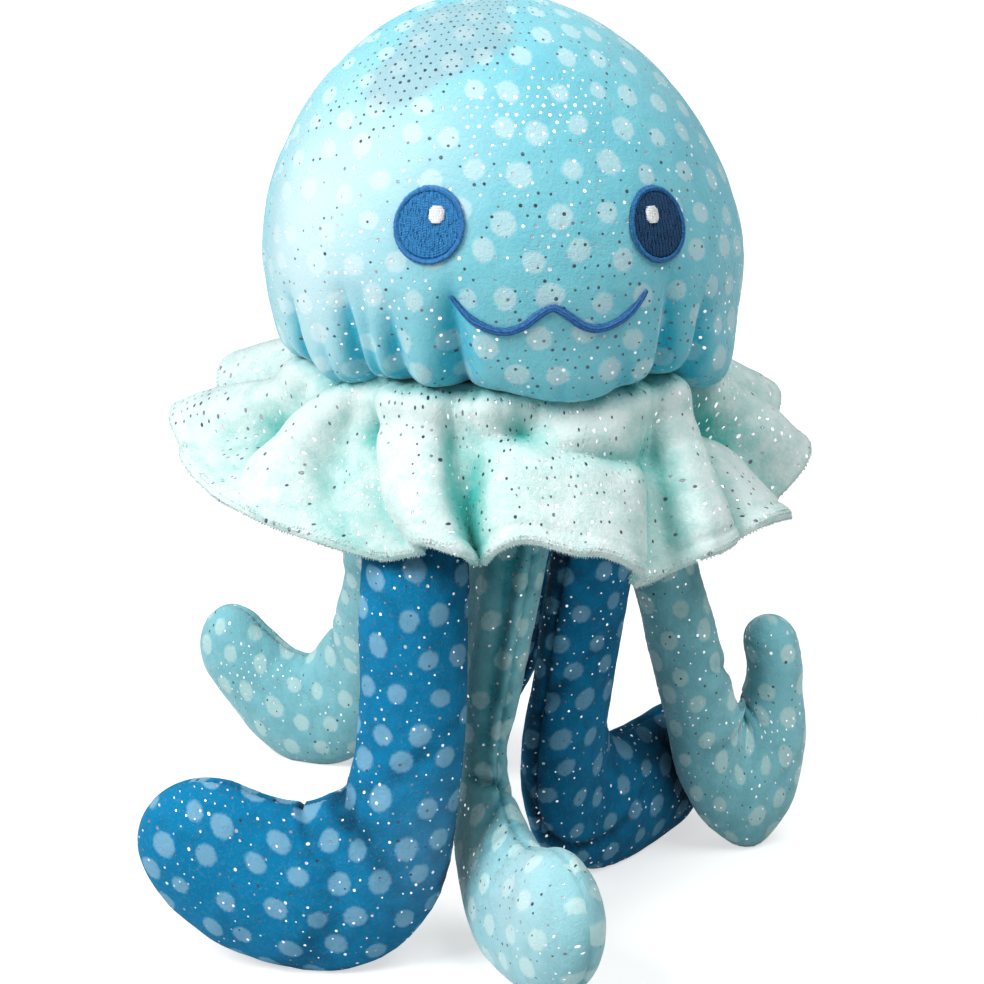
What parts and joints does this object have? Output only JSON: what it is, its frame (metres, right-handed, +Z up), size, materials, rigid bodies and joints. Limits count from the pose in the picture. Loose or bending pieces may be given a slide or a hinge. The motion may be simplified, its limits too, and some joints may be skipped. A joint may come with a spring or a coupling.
{
  "type": "plush jellyfish dog toy",
  "caption": "Stuffed plush jellyfish toy with a domed head, a gathered ruffle, curled feet on dangling tentacles and a stitched smiling face.",
  "frame": {"origin": "middle of the plan, on the floor under the feet", "axes": "+Z up through the crown, -Y the way the face looks, +X to the viewer's right"},
  "size_m": [0.2172, 0.2412, 0.2725],
  "materials": {
    "head_plush": "short aqua pile with pale polka dots and foil flecks",
    "ruffle_plush": "short mint pile with foil flecks",
    "blue_plush": "short blue pile with pale polka dots and foil flecks",
    "aqua_plush": "short aqua pile with pale polka dots and foil flecks",
    "panel_plush": "short aqua pile",
    "eye_thread": "blue embroidery thread, filled with long stitches",
    "rim_thread": "blue satin stitch",
    "glint_thread": "white satin stitch",
    "mouth_thread": "blue satin stitch"
  },
  "bodies": {
    "root": {"head": "head_plush", "ruffle": "ruffle_plush", "base_panel": "panel_plush", "tentacle_blue_front_left": "blue_plush", "tentacle_aqua_front": "aqua_plush", "tentacle_blue_right": "blue_plush", "tentacle_aqua_right": "aqua_plush", "tentacle_blue_back": "blue_plush", "tentacle_aqua_back_left": "aqua_plush", "eye_left": "eye_thread", "eye_right": "eye_thread", "eye_left_rim": "rim_thread", "eye_right_rim": "rim_thread", "eye_left_glint": "glint_thread", "eye_right_glint": "glint_thread", "mouth": "mouth_thread"}
  },
  "joints": []
}
